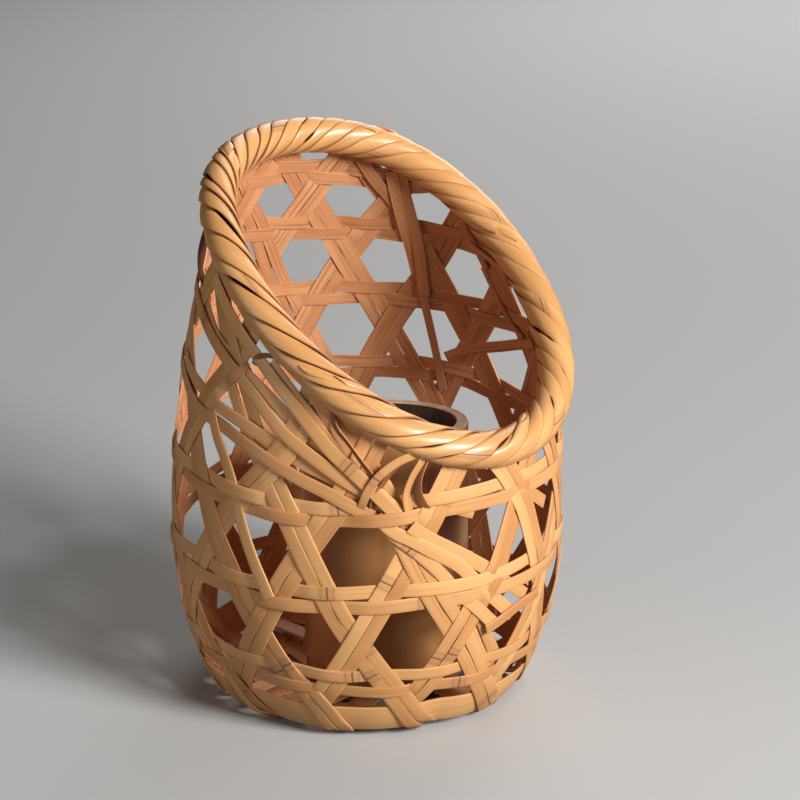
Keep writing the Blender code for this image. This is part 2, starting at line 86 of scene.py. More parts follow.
# Sizes of the looks alone
MM = 0.001
SLOPE_STEP = 0.0004
RIM_COUNT = 1440
RIM_CLEARANCE = 0.0035
FIRST_HEADING = -17.5
LEVEL_SPACING = 0.05
TOP_LEVEL = 6.95
BASE_SPACING = 0.0022
RING_POINTS = 240
RING_OVERLAP = 3
RING_WALK_RADIUS = 0.085
RING_PITCHES = {1: 0.0088, 2: 0.007}
TAIL_POINTS = 9
POINT_SPACING = 0.0019
FREE_SPACING = 0.0008
FREE_THICKNESS = 0.0007
BAND_HEIGHT = 0.01
BAND_WIDTH = 0.0164
BAND_THICKNESS = 0.0008
CONTACT_SHARE = 0.72
CONTACT_GAP = 0.00012
SETTLE_STEPS = 700
LOOP_ROWS = 6
STIFFENER_WIDTH = 0.0085
STIFFENER_THICKNESS = 0.0012
STIFFENER_DEPTH = 0.002475
STIFFENER_POINTS = 48
NODE_SPACING = 0.215


# ---- Shape of the wall ----
def body_radius(height):
    below = np.clip(1.0 - height / BELLY_HEIGHT, 0.0, 1.0)
    above = np.clip(height - BELLY_HEIGHT, 0.0, None)
    return BELLY_RADIUS - (BELLY_RADIUS - BASE_RADIUS) * below ** FOOT_SHAPE - SHOULDER_CURVE * above ** 2


def mouth_height(angle):
    slope = MOUTH_SLANT * np.cos(angle) + MOUTH_DIP * np.cos(2 * angle)
    return MOUTH_HEIGHT - slope + MOUTH_SKEW * np.sin(angle)


def mouth_radius(angle):
    return MOUTH_RADIUS + MOUTH_SHIFT * np.cos(angle) + MOUTH_OVAL * np.cos(2 * angle)


def wall_radius(angle, height):
    top = mouth_height(angle)
    drawn_in = body_radius(top) - mouth_radius(angle)
    return body_radius(height) - drawn_in * (np.clip(height, 0.0, None) / top) ** DRAW_IN_SHAPE


# The weave is laid out on a flat plan, where the wall is a ring round the floor
def flat_height(reach):
    return SHEET_HEIGHT + (reach - BASE_RADIUS) / WALL_STRETCH


def flat_place(angle, height):
    reach = BASE_RADIUS + (height - SHEET_HEIGHT) * WALL_STRETCH
    return np.stack([reach * np.sin(angle), -reach * np.cos(angle)], -1)


def polar(flat):
    return np.arctan2(flat[:, 0], -flat[:, 1]), np.hypot(flat[:, 0], flat[:, 1])


def outward_at(angle):
    return np.stack([np.sin(angle), -np.cos(angle), 0 * angle], -1)


def unit(vectors):
    return vectors / np.linalg.norm(vectors, axis=1)[:, None]


# From the flat plan to space: floor, rounded corner, wall
def space_point(flat):
    angle, reach = polar(flat)
    outward = outward_at(angle)
    floor_level = np.array([0.0, 0.0, SHEET_HEIGHT])

    def on_wall(height):
        place = outward * wall_radius(angle, height)[:, None]
        place[:, 2] = height
        return place

    scaled = wall_radius(angle, np.full_like(angle, SHEET_HEIGHT)) / BASE_RADIUS
    past = reach - BASE_RADIUS
    inner = outward * (reach * scaled)[:, None] + floor_level
    wall = on_wall(np.maximum(flat_height(reach), 0.0))
    start = outward * ((BASE_RADIUS - CORNER_REACH) * scaled)[:, None] + floor_level
    corner = on_wall(np.full_like(angle, SHEET_HEIGHT))
    end = on_wall(np.full_like(angle, SHEET_HEIGHT + CORNER_REACH / WALL_STRETCH))
    share = np.clip((past + CORNER_REACH) / (2 * CORNER_REACH), 0, 1)[:, None]
    bend = start * (1 - share) ** 2 + corner * 2 * share * (1 - share) + end * share ** 2
    out = np.where((past <= -CORNER_REACH)[:, None], inner, bend)
    return np.where((past >= CORNER_REACH)[:, None], wall, out)


def space_slopes(flat):
    across, along = (
        (space_point(flat + step) - space_point(flat - step)) / (2 * SLOPE_STEP)
        for step in np.eye(2) * SLOPE_STEP)
    return across, along, unit(np.cross(along, across))


# The line of a strip moved sideways on the wall by an amount in metres
def shifted(flat, amount):
    across, along, normal = space_slopes(flat)
    side = unit(np.cross(normal, np.gradient(space_point(flat), axis=0)))
    move = side * np.reshape(amount, (-1, 1))
    aa, ab, bb, ma, mb = ((one * two).sum(1) for one, two in (
        (across, across), (across, along), (along, along), (across, move), (along, move)))
    scale = 1.0 / (aa * bb - ab * ab)
    return flat + np.stack([(bb * ma - ab * mb) * scale, (aa * mb - ab * ma) * scale], -1)


def path_length(points):
    return np.concatenate([[0.0], np.cumsum(np.linalg.norm(np.diff(points, axis=0), axis=1))])


def smooth(values, reach):
    kernel = np.exp(-0.5 * (np.arange(-3 * reach, 3 * reach + 1) / reach) ** 2)
    kernel /= kernel.sum()
    return np.convolve(np.pad(values, 3 * reach, mode="edge"), kernel, mode="valid")


def sway(seed, count, place, size):
    values = np.random.RandomState(seed).uniform(-1, 1, count)
    low = place.astype(int)
    share = place - low
    share = share * share * (3 - 2 * share)
    return size * (values[low] * (1 - share) + values[low + 1] * share)


def wander(seed, lengths, reach, size):
    count = len(np.arange(0, lengths.max() + 2 * reach, reach)) + 1
    return sway(seed, count, lengths / reach, size)


# A smooth curve through points, and where its own points lie along it
def curve_through(knots, count):
    place = path_length(knots)
    at = np.linspace(0, place[-1], count)
    slopes = np.gradient(knots, place, axis=0)
    index = np.clip(np.searchsorted(place, at) - 1, 0, len(place) - 2)
    size = (place[index + 1] - place[index])[:, None]
    share = (at - place[index])[:, None] / size
    square, cube = share ** 2, share ** 3
    curve = (
        knots[index] * (2 * cube - 3 * square + 1) + slopes[index] * size * (cube - 2 * square + share)
        + knots[index + 1] * (3 * square - 2 * cube) + slopes[index + 1] * size * (cube - square))
    return curve, at, place


# The rim's middle line
def rim_centre(angle):
    radius = mouth_radius(angle)
    return np.stack([radius * np.sin(angle), -radius * np.cos(angle), mouth_height(angle)], -1)


rim_angles = np.linspace(0, 2 * np.pi, RIM_COUNT + 1)
rim_line = rim_centre(rim_angles)
rim_lengths = path_length(rim_line)
RIM_LENGTH = rim_lengths[-1]


def rim_distance(points):
    return np.linalg.norm(points[:, None, :] - rim_line[None, ::8, :], axis=2).min(1)


# ---- Paths of the weave ----
# Spots where the hand weave strays from its even pattern: which families stray, the spot's angle in
# degrees and height, the turn in degrees, the rise, and the reach of the spot, with all lengths in mm
WEAVE_SHIFTS = (
    ("left right ring", 165, 120, 0, 6, 65),
    ("left right ring", 200, 180, 0, 6, 45),
    ("left right ring", 110, 115, 0, 3.5, 35),
    ("left right", 108, 130, 3, 0, 45),
    ("left right", 203, 170, -2.5, 0, 45),
    ("right", 178, 215, -2.8, 0, 32),
    ("right", 203, 150, -2, 0, 45),
    ("left", 160, 180, 2.2, 0, 42),
    ("left", -30, 80, -6, 0, 35),
    ("left", -6, 105, 11.5, 0, 45),
    ("right", -78, 150, 8, 0, 38),
    ("left", -58, 14, 3, 0, 24),
    ("ring", -68, 116, 0, -5, 45),
    ("ring", 185, 215, 0, 3.2, 35),
    ("ring", 122, 225, 0, -4.5, 28),
)
STRAY_DEGREE = 0.0015
STRAY_START = 0.02


def strayed_place(family, degrees, height):
    height = height + 0.0 * degrees
    turn, rise = 0 * height, 0 * height
    near = np.clip(height / STRAY_START, 0, 1)
    for families, spot, level, turned, raised, reach in WEAVE_SHIFTS:
        if family in families:
            gap = ((degrees - spot + 180) % 360 - 180) * STRAY_DEGREE
            weight = np.exp(-(gap ** 2 + (height - level * MM) ** 2) / (reach * MM) ** 2) * near
            turn += turned * weight
            rise += raised * MM * weight
    return flat_place(np.radians(degrees + turn), height + rise)


LEVEL_HEIGHTS = (SHEET_HEIGHT,) + RING_HEIGHTS + (0.25,)


# A splint's line up the wall: levels count the pairs of hoops that it has passed
def leaning(start, lean, levels):
    degrees = start + lean * LEVEL_STEP_ANGLE * levels
    drift = WEAVE_DRIFT * np.clip(levels / 2, 0, 1) * (1 - np.cos(np.radians(degrees - DRIFT_FROM)))
    height = smooth(np.interp(levels, np.arange(len(LEVEL_HEIGHTS)), LEVEL_HEIGHTS), 3)
    return strayed_place("right" if lean > 0 else "left", degrees - drift, height)


# Lines of the hand weave that stray on their own: the heights between which they do, then (height, degrees)
PINNED_LINES = {
    (2, "left"): (0.036, 0.2, (
        (0.066, 15.5), (0.079, 11.5), (0.0935, 7.5), (0.112, 2.5), (0.1325, -6.0))),
    (3, "right"): (0.042, 0.132, (
        (0.0594, -15.8), (0.07, -10.8), (0.0787, -6.6), (0.0903, -3.4), (0.1043, 1.0))),
}


def pinned(number, side, flat):
    if (number, side) not in PINNED_LINES:
        return flat
    free_low, free_high, pins = PINNED_LINES[number, side]
    angle, reach = polar(flat)
    degrees, height = np.degrees(angle), flat_height(reach)
    heights, moves = np.array(pins).T
    moves = moves - np.interp(heights, height, degrees)
    last = 0.0 if free_high < 0.15 else moves[-1]
    heights = np.concatenate([[0.0, free_low], heights, [free_high]])
    moves = np.concatenate([[0.0, 0.0], moves, [last]])
    return flat_place(np.radians(degrees + smooth(np.interp(height, heights, moves), 3)), height)


strips = []


def add_strip(name, nodes, kind, flat, width, **more):
    full = "bamboo_" + name
    facts = dict(
        name=full, nodes=nodes, kind=kind, flat=flat, width=width, thickness=SPLINT_THICKNESS, closed=False,
        pair=name, half=0, direction=0, order=0, rules={}, tags=[kind] * len(flat), levels=None,
        seed=sum(ord(letter) * (place + 3) for place, letter in enumerate(full)))
    facts.update(more)
    strips.append(SimpleNamespace(**facts))


def long_splints():
    spread = 360.0 / PAIR_COUNT
    levels = np.arange(LEVEL_SPACING, TOP_LEVEL, LEVEL_SPACING)
    for number in range(1, PAIR_COUNT + 1):
        direction, line = divmod(number - 1, PAIR_COUNT // 3)
        near = (spread + LEVEL_STEP_ANGLE) / 2 + spread * (line % 2)
        turned = FIRST_HEADING + 60.0 * direction + (180.0 if line >= 2 else 0.0)
        left_start, right_start = turned + near, turned + 180.0 - near
        edge_in, edge_out = (
            flat_place(np.radians(start), SHEET_HEIGHT) for start in (right_start, left_start))
        chord = np.linalg.norm(edge_out - edge_in)
        forward = (edge_out - edge_in) / chord
        sideways = np.array([-forward[1], forward[0]])
        middle = (edge_in + edge_out) / 2
        edge_distance = middle @ sideways
        bow = math.copysign(BASE_LINE_OFFSETS[line % 2], edge_distance) - edge_distance
        right = pinned(number, "right", leaning(right_start, 1, levels))[::-1]
        left = pinned(number, "left", leaning(left_start, -1, levels))
        shares = np.linspace(-1, 1, int(chord / BASE_SPACING))
        base = middle + forward * (shares * (chord / 2))[:, None]
        base = base + sideways * (bow * (1 - np.abs(shares) ** BASE_BOW_SHAPE))[:, None]
        flat = np.concatenate([right, base, left])
        level = np.concatenate([levels[::-1], -1 + 0 * shares, levels])
        tags = np.array(["N"] * len(right) + ["base"] * len(base) + ["M"] * len(left))
        lengths = path_length(space_point(flat))
        for half, side in (("a", -1), ("b", 1)):
            move = wander(number * 7, lengths, 0.045, 0.0006)
            own = wander(number * 13 + side, lengths, 0.03, 0.00022)
            moved = shifted(flat, side * PAIR_PITCH / 2 + move + own)
            inside = rim_distance(space_point(moved)) < RIM_CLEARANCE
            start_hit = np.nonzero(inside & (tags == "N"))[0]
            end_hit = np.nonzero(inside & (tags == "M"))[0]
            first = start_hit.max() if len(start_hit) else 0
            last = end_hit.min() if len(end_hit) else len(flat) - 1
            cut = slice(first, last + 1)
            width = SPLINT_WIDTH + wander(number * 17 + side, lengths, 0.06, 0.0003)
            name = "long_splint_%02d_%s" % (number, half)
            add_strip(
                name, (name,), "long", moved[cut], width[cut], pair="long_%d" % number, half=side,
                direction=direction, tags=tags[cut], levels=level[cut])


# Rules of a splint at crossings: over (1) or under (-1) the right-leaning splints, N, and the halves of
# the hoops, numbered from below with 0.5 more for the upper half. What isn't named it passes over, or as
# "rest" says; "N end" is the rule for its last points.
OVER_N = {"N": 1, 3.5: 1, 3: -1}
UNDER_N = {"N": -1, 3.5: 1, 3: -1}
UNDER_HOOPS = {"N": 1, 3: -1, 2.5: -1, 2: -1}

# Splints that run down across the low side: order of laying, rules, half hoop that it leaves,
# points (degrees, height in mm)
DESCENTS = (
    (1, OVER_N, (4, -1), (
        (-104, 145), (-93.4, 142.6), (-84, 138.4), (-74, 133), (-64.3, 127), (-55.3, 121.5), (-49, 116.3),
        (-43, 112))),
    (2, UNDER_N, (4, 1), (
        (-104.7, 153.3), (-92.7, 149.5), (-83.8, 146), (-76, 142), (-70, 138.3), (-64.4, 134), (-55.3, 128.6),
        (-46.8, 122), (-40, 116.4), (-35, 111))),
    (3, OVER_N, (5, -1), (
        (-104, 178), (-93.8, 170.7), (-86, 164.4), (-80.4, 158.7), (-75, 152), (-69.4, 145.5), (-64.5, 140.8),
        (-58.3, 135), (-51, 128), (-42.6, 121), (-37, 116), (-33.5, 111))),
    (4, UNDER_N, (5, 1), (
        (-100, 177), (-90, 170.6), (-81, 164), (-73, 156.7), (-66, 148.7), (-59, 140.8), (-52.5, 132.8),
        (-46, 125.7), (-40, 118.5), (-35.5, 113))),
    (6, OVER_N, None, (
        (-108, 202.5), (-100, 194.7), (-88, 183), (-79, 174), (-72, 165.5), (-65.6, 157), (-59.7, 148),
        (-54.3, 139.6), (-49, 132.6), (-44, 125.3), (-40.5, 119.5), (-36.5, 113))),
    (5, OVER_N, None, (
        (-76, 174.5), (-72, 169), (-67.3, 162.8), (-62.8, 156.3), (-57, 146), (-51.6, 136.2), (-46.6, 129),
        (-41.5, 122), (-38, 116.5), (-35, 111.8))),
    (1, UNDER_HOOPS, None, (
        (-42, 113), (-40, 108), (-36, 102), (-30, 93.7), (-24.4, 84.3), (-19, 74), (-12.5, 64),
        (-6.5, 54.6))),
    (2, UNDER_HOOPS, None, (
        (-41, 110.5), (-38, 106), (-32.4, 101), (-26, 94.3), (-19, 86.7), (-12.5, 75.6), (-5.5, 64.8),
        (1.3, 55.2))),
    (9, {"N": 1, "N end": -1, 3.5: 1, 3: 1, 2.5: 1, 2: 1}, None, (
        (-33, 107.8), (-27.3, 101), (-20, 93.5), (-12.7, 85.5), (-5.6, 77.5))),
    (1, {"N": 1, 3.5: -1, 3: -1, 2.5: 1, 2: 1}, None, (
        (-97, 147.5), (-94.5, 138.6), (-90, 127.7), (-86.6, 117.8), (-84, 107.5), (-80.7, 95), (-77.5, 84.6),
        (-75, 77.4), (-73, 71))),
)

# Thinner or shorter splints pushed in elsewhere: name, width in mm, order of laying (above 0 over the
# rest, else under it), points
EXTRAS = (
    ("cross_1", 5, 12, ((-9.5, 53), (-6.5, 54.5), (2.6, 58.8), (12.5, 60.6))),
    ("low_1", 5.8, -3, ((-25, 82), (-22.6, 76), (-19.7, 68), (-17, 58.7), (-15.4, 53))),
    ("low_2", 5.8, -4, ((-16, 61), (-13.5, 53.5), (-10, 42.5), (-5.3, 31.5), (1.5, 12.5))),
    ("low_3", 5.8, -5, ((-11.5, 61), (-9.3, 54), (-6, 44.3), (-1.3, 33.3), (6, 13.5))),
    ("stub_1", 5.8, 0, ((4, 114.5), (8, 110), (12.5, 105.2), (17.1, 100.5))),
    ("stub_2", 5.6, 0, ((-26, 116.5), (-21, 114), (-17.5, 111.5), (-13.6, 109))),
    ("stub_3", 5.8, 0, ((-7, 76.5), (-3, 73), (2, 67.5), (7, 61.7))),
    ("back_1", 5.8, -21, ((140, 236), (136, 228), (131, 218), (126, 210), (121, 201))),
    ("back_2", 5.6, -22, ((124.6, 223), (123.6, 215), (121.5, 200), (119, 185), (117, 170))),
    ("back_3", 5.6, -23, ((120.4, 222), (120, 216), (117.7, 200.6), (115.6, 183), (114.7, 160))),
    ("back_4", 4, -20, ((116, 164), (115, 157), (113, 141.6), (111, 126), (109.5, 112))),
    ("back_5", 5.3, -24, ((108, 129), (104, 132), (95, 137), (84, 142), (75, 146.5), (66, 150.8))),
    ("back_6", 2.6, -25, ((90, 180), (88.6, 176), (84, 165), (77.7, 155), (72, 151))),
    ("back_7", 4, -26, ((96.5, 201), (95.6, 198), (92.6, 192.6), (89.8, 186), (87.5, 180))),
    ("back_8", 2.8, -27, ((93.5, 191.5), (90.8, 189.6), (86.3, 187), (80.7, 183.6), (77, 181.2))),
)


def through_points(points):
    knots = np.array([flat_place(math.radians(angle), height * MM) for angle, height in points])
    return curve_through(knots, int(path_length(space_point(knots))[-1] / POINT_SPACING))[0]


def ring(number, height, half, side):
    name = "ring_%d_%s" % (number, half)
    common = {"pair": "ring_%d" % number, "half": side, "direction": number}
    past = RING_OVERLAP * 360.0 / RING_POINTS
    degrees = np.linspace(-180 - past, 180 + past, RING_POINTS + 2 * RING_OVERLAP + 1)
    lengths = np.radians(np.mod(degrees + 180, 360)) * RING_WALK_RADIUS
    flat = strayed_place("ring", degrees, height)
    seam = np.clip(1 - np.abs(np.abs(degrees) - 180) / 20, 0, 1)
    move = wander(number * 31, lengths, 0.05, 0.0009)
    move = move + wander(number * 37 + side, lengths, 0.03, 0.0003)
    flat = shifted(flat, side * RING_PITCHES.get(number, PAIR_PITCH) / 2 + move * (1 - seam))
    flat, degrees, lengths, seam = (
        values[RING_OVERLAP:-RING_OVERLAP] for values in (flat, degrees, lengths, seam))
    width = SPLINT_WIDTH + 0.0001 + wander(number * 41 + side, lengths, 0.06, 0.0003) * (1 - seam)
    points = space_point(flat)
    bad = (rim_distance(points) < RIM_CLEARANCE) | (
        points[:, 2] > mouth_height(np.radians(degrees)) - 0.002)
    if not bad.any():
        add_strip(name, (name,), "ring", flat[:-1], width[:-1], closed=True, **common)
        return
    order = np.roll(np.arange(RING_POINTS), RING_POINTS // 2)
    flat, width, bad, turned = (values[:-1][order] for values in (flat, width, bad, degrees))
    good = np.nonzero(~bad)[0]
    stop = np.nonzero((turned < -60) & (turned > OPEN_RING_END - 14))[0].min()
    cut = slice(max(good.min() - 1, 0), min(good.max() + 2, stop))
    flat, width, nodes = flat[cut], width[cut], (name,)
    for place, (after, rules, leaves, points) in enumerate(DESCENTS, start=1):
        if leaves == (number, side):
            nodes = (name, "inserted_splint_%d" % place)
            angles, reaches = polar(flat[[-TAIL_POINTS, -1]])
            behind = tuple(zip(np.degrees(angles), flat_height(reaches) / MM))
            tail = through_points(behind + points)
            tags = ["ring"] * (len(flat) - TAIL_POINTS) + ["extra"] * len(tail)
            common.update(order=after, rules=rules, tags=tags)
            flat = np.vstack([flat[:-TAIL_POINTS], tail])
            width = np.concatenate([width[:-TAIL_POINTS], np.full(len(tail), SPLINT_WIDTH)])
    add_strip(name, nodes, "ring", flat, width, **common)


def pushed_in(name, nodes, points, width, order, rules, seed, reach, change):
    flat = through_points(points)
    width = width + wander(seed, path_length(space_point(flat)), reach, change)
    add_strip(name, nodes, "extra", flat, width, order=order, rules=rules)


def all_strips():
    long_splints()
    for number, height in enumerate(RING_HEIGHTS, start=1):
        ring(number, height, "lower", -1)
        ring(number, height, "upper", 1)
    degrees = np.linspace(-180, 180, RING_POINTS + 1)[:-1]
    flat = flat_place(np.radians(degrees), np.full(RING_POINTS, BAND_HEIGHT))
    add_strip(
        "base_band", ("base_band",), "band", flat, np.full(RING_POINTS, BAND_WIDTH),
        thickness=BAND_THICKNESS, closed=True)
    for place, (order, rules, leaves, points) in enumerate(DESCENTS, start=1):
        if not leaves:
            pushed_in(
                "descent_%d" % place, ("inserted_splint_%d" % place,), points, SPLINT_WIDTH, order, rules,
                order * 53 + len(points), 0.05, 0.0003)
    for name, width, order, points in EXTRAS:
        pushed_in(
            name, (), points, width * MM, order, {"rest": 1 if order > 0 else -1},
            abs(order) * 7 + 3, 0.03, 0.0002)


# ---- Who passes over whom ----
# Where a splint crosses the hoops the other way round: (pair, leaning left or right, pair of hoops)
SWAPPED_AT_RINGS = {("long_2", "M", 2), ("long_3", "N", 2)}


# 1 where the first strip passes over the second, -1 where under, 0 where they don't touch. The second
# comes later in the list of strips.
def rank(one, at, two, other):
    first, second = one.tags[at], two.tags[other]
    if first == second == "extra":
        return 1 if one.order > two.order else -1
    if second == "extra":
        return -rank(two, other, one, at)
    if first == "extra":
        if second == "N" and "N end" in one.rules and at > len(one.flat) - TAIL_POINTS:
            return one.rules["N end"]
        if second == "ring":
            second = two.direction + (0.5 if two.half > 0 else 0)
        return one.rules.get(second, one.rules.get("rest", 1))
    leaning_left = 1 if first == "M" else -1
    if {first, second} == {"M", "N"}:
        return leaning_left * (1 if int(round(one.levels[at] - 0.5)) % 2 == 0 else -1)
    if first in ("M", "N") and second == "ring":
        swapped = -1 if (one.pair, first, two.direction) in SWAPPED_AT_RINGS else 1
        return leaning_left * swapped * (1 if two.direction % 2 else -1) * two.half
    if "ring" in (first, second) or first == second != "base":
        return 0
    if second == "band":
        return leaning_left
    return 1 if (one.direction - two.direction) % 3 == 1 else -1


# Every spot where two strips lie on each other: point of one, point of the other, which is over, how far
# apart they lie
def find_contacts():
    points = [space_point(strip.flat) for strip in strips]
    starts = np.concatenate([[0], np.cumsum([len(strip.flat) for strip in strips])])
    found = []
    for (i, one), (j, two) in combinations(enumerate(strips), 2):
        reach = (one.width[0] + two.width[0]) / 2
        a, b = points[i], points[j]
        apart = (a.min(0) > b.max(0) + reach).any() or (b.min(0) > a.max(0) + reach).any()
        if one.pair == two.pair or apart:
            continue
        gaps = np.linalg.norm(a[:, None, :] - b[None, :, :], axis=2)
        near = np.argwhere((gaps < reach * CONTACT_SHARE) & (
            (gaps <= gaps.min(1)[:, None] + 1e-9) | (gaps <= gaps.min(0)[None, :] + 1e-9)))
        for at, other in near:
            over = rank(one, at, two, other)
            if over:
                found.append((starts[i] + at, starts[j] + other, over, (one.thickness + two.thickness) / 2))
    return starts, np.array(found)


# Height of every point above the wall: the strips stay as straight as they can and keep apart at contacts
def settle_strips():
    starts, found = find_contacts()
    one, two = found[:, 0].astype(int), found[:, 1].astype(int)
    over, apart = found[:, 2], found[:, 3] + CONTACT_GAP
    count = starts[-1]
    before, after = np.arange(count) - 1, np.arange(count) + 1
    for index, strip in enumerate(strips):
        low, high = starts[index], starts[index + 1] - 1
        before[low], after[high] = (high, low) if strip.closed else (low + 1, high - 1)
    height = np.zeros(count)
    for _ in range(SETTLE_STEPS):
        level = (height[before] + height[after]) / 2
        height = height + 0.45 * (level - height)
        gap = np.clip(apart - over * (height[one] - height[two]), 0, None)
        push = over * gap * 0.5
        active = (gap > 0).astype(float)
        move = np.bincount(one, push, count) - np.bincount(two, push, count)
        weight = np.bincount(one, active, count) + np.bincount(two, active, count)
        height = height + 0.9 * move / np.maximum(weight, 1)
        height *= 0.999
    return [height[starts[k]:starts[k + 1]] for k in range(len(strips))]


all_strips()
lifts = settle_strips()


# ---- Making pieces ----
def new_mesh(name, vertices, faces, parts, smooth_faces, uvs):
    mesh = bpy.data.meshes.new(name)
    mesh.from_pydata([tuple(v) for v in vertices], [], faces)
    mesh.polygons.foreach_set("material_index", parts)
    mesh.polygons.foreach_set("use_smooth", smooth_faces)
    layer = mesh.uv_layers.new(name="UVMap")
    layer.data.foreach_set("uv", np.asarray(uvs, dtype=float).ravel())
    mesh.update()
    return mesh


# Cross-section of a split, outer skin slightly rounded and inner side flat: across, through
SECTION = (
    (-0.5, 0.2), (-0.488, 0.38), (-0.466, 0.45), (-0.25, 0.5), (0.0, 0.53), (0.25, 0.5),
    (0.466, 0.45), (0.488, 0.38), (0.5, 0.2), (0.484, -0.5), (0.0, -0.47), (-0.484, -0.5))
SKIN_EDGES = 8
SHARP_COLUMNS = (0, 8, 9, 11)


def band_mesh(name, grid, closed, offset_u, skin_first=0, skin_last=SKIN_EDGES):
    count, ring = grid.shape[:2]
    vertices = grid.reshape(-1, 3) + np.array([0.0, FRAME_SHIFT, 0.0])
    middle = grid.mean(1)
    lengths = path_length(np.vstack([middle, middle[:1]]) if closed else middle) + offset_u
    around = path_length(np.vstack([grid[0], grid[0][:1]]))
    row, column = np.divmod(np.arange((count if closed else count - 1) * ring), ring)
    here, after = row * ring, (row + 1) % count * ring
    beside = (column + 1) % ring
    faces = np.stack([here + column, after + column, after + beside, here + beside], -1).tolist()
    parts = np.where((column >= skin_first) & (column < skin_last), 0, 1).tolist()
    shades = [True] * len(faces)
    u0, u1, v0, v1 = lengths[row], lengths[row + 1], around[column], around[column + 1]
    uvs = np.stack([u0, v0, u1, v0, u1, v1, u0, v1], -1).reshape(-1, 2).tolist()
    if not closed:
        first = list(range(ring))
        last = [(count - 1) * ring + place for place in reversed(first)]
        faces += [first, last]
        parts += [1, 1]
        shades += [False, False]
        uvs += [(offset_u + 9.0, 0.3 + 0.01 * place) for place in first] * 2
    mesh = new_mesh(name, vertices, faces, parts, shades, uvs)
    ends = np.zeros(len(mesh.edges) * 2, dtype=np.int32)
    mesh.edges.foreach_get("vertices", ends)
    columns = ends.reshape(-1, 2) % ring
    sharp = (columns[:, 0] == columns[:, 1]) & np.isin(columns[:, 0], SHARP_COLUMNS)
    mark = mesh.attributes.new("sharp_edge", "BOOLEAN", "EDGE")
    mark.data.foreach_set("value", sharp)
    return mesh


def strip_grid(flat, lift, width, thickness):
    middle = space_point(flat)
    right, left = (space_point(shifted(flat, away)) for away in (width / 2, -width / 2))
    normal = space_slopes(flat)[2]
    bulge = middle - (left + right) / 2
    columns = []
    for across, through in SECTION:
        share = across + 0.5
        point = left * (1 - share) + right * share + bulge * (1 - (2 * across) ** 2)
        columns.append(point + normal * (lift + through * thickness)[:, None])
    return np.stack(columns, 1)


# ---- Materials ----
def new_node(tree, kind):
    return tree.nodes.new("ShaderNode" + kind)


# Each input of the node is linked to a socket or set to a value
def connect(node, inputs):
    for key, value in inputs.items():
        if isinstance(value, bpy.types.NodeSocket):
            node.id_data.links.new(value, node.inputs[key])
        else:
            node.inputs[key].default_value = value
    return node


def mixed(tree, factor, first, second):
    made = new_node(tree, "Mix")
    made.data_type = "RGBA"
    return connect(made, {"Factor": factor, 6: first, 7: second}).outputs[2]


def bamboo(name, light, dark, streak_dark, roughness, streaks, speck=0.5, marks=0.0, bump=0.25, coat=0.0,
           by_place=False):
    material = bpy.data.materials.new(name)
    material.use_nodes = True
    tree = material.node_tree
    if by_place:
        source = new_node(tree, "TexCoord").outputs["Object"]
    else:
        uv = new_node(tree, "UVMap")
        uv.uv_map = "UVMap"
        source = uv.outputs["UV"]

    def noise(x, y, detail, rough=0.5):
        scale = (x, y, y if by_place else 1.0)
        place = connect(new_node(tree, "Mapping"), {"Scale": scale, "Vector": source})
        made = connect(new_node(tree, "TexNoise"), {
            "Scale": 1.0, "Detail": detail, "Roughness": rough, "Vector": place.outputs["Vector"]})
        return made.outputs["Fac"]

    def ramp(value, low, high):
        made = new_node(tree, "MapRange")
        made.interpolation_type = "SMOOTHSTEP"
        return connect(made, {"From Min": low, "From Max": high, "Value": value}).outputs["Result"]

    def maths(operation, *values):
        made = new_node(tree, "Math")
        made.operation = operation
        return connect(made, dict(enumerate(values))).outputs[0]

    def darkened(colour, amount, value, low, high):
        return mixed(tree, maths("MULTIPLY", ramp(value, low, high), amount), colour, (*streak_dark, 1.0))

    def near(distance, low, high):
        return maths("SUBTRACT", 1.0, ramp(distance, low, high))

    fibre = noise(28.0, 2600.0, 3.0, 0.6)
    colour = mixed(tree, ramp(noise(9.0, 60.0, 2.0), 0.34, 0.66), (*dark, 1.0), (*light, 1.0))
    colour = darkened(colour, streaks, noise(11.0, 900.0, 2.0), 0.5, 0.74)
    colour = darkened(colour, streaks * 0.55, fibre, 0.46, 0.66)
    colour = darkened(colour, speck, noise(420.0, 900.0, 2.0, 0.6), 0.7, 0.78)
    bump_height = fibre
    if marks > 0:
        # Nodes of the stem: a dark line with a fainter one on each side, in a browner band
        split = connect(new_node(tree, "SeparateXYZ"), {"Vector": source})
        along = maths("ADD", split.outputs["X"], maths("MULTIPLY", noise(2.0, 330.0, 1.0), 0.0008))
        part = maths("FRACT", maths("DIVIDE", along, NODE_SPACING))
        gap = maths("MULTIPLY", maths("ABSOLUTE", maths("SUBTRACT", part, 0.5)), NODE_SPACING)
        line = near(gap, 0.00015, 0.0006)
        second = near(maths("ABSOLUTE", maths("SUBTRACT", gap, 0.003)), 0.0001, 0.0005)
        band = near(gap, 0.0022, 0.0052)
        colour = mixed(tree, maths("MULTIPLY", band, 0.45 * marks), colour, (0.42, 0.21, 0.1, 1.0))
        lines = maths("MAXIMUM", line, maths("MULTIPLY", second, 0.35))
        colour = mixed(tree, maths("MULTIPLY", lines, marks), colour, (0.2, 0.085, 0.035, 1.0))
        bump_height = maths("SUBTRACT", bump_height, maths("MULTIPLY", line, 2.0))
        bump_height = maths("ADD", bump_height, maths("MULTIPLY", band, 1.2))
    bumped = connect(new_node(tree, "Bump"), {
        "Strength": bump, "Distance": 0.00012, "Height": bump_height})
    connect(tree.nodes["Principled BSDF"], {
        "Base Color": colour, "Roughness": maths("MULTIPLY_ADD", fibre, 0.22, roughness - 0.11),
        "Normal": bumped.outputs["Normal"], "Specular IOR Level": 0.5, "Coat Weight": coat,
        "Coat Roughness": 0.28})
    return material


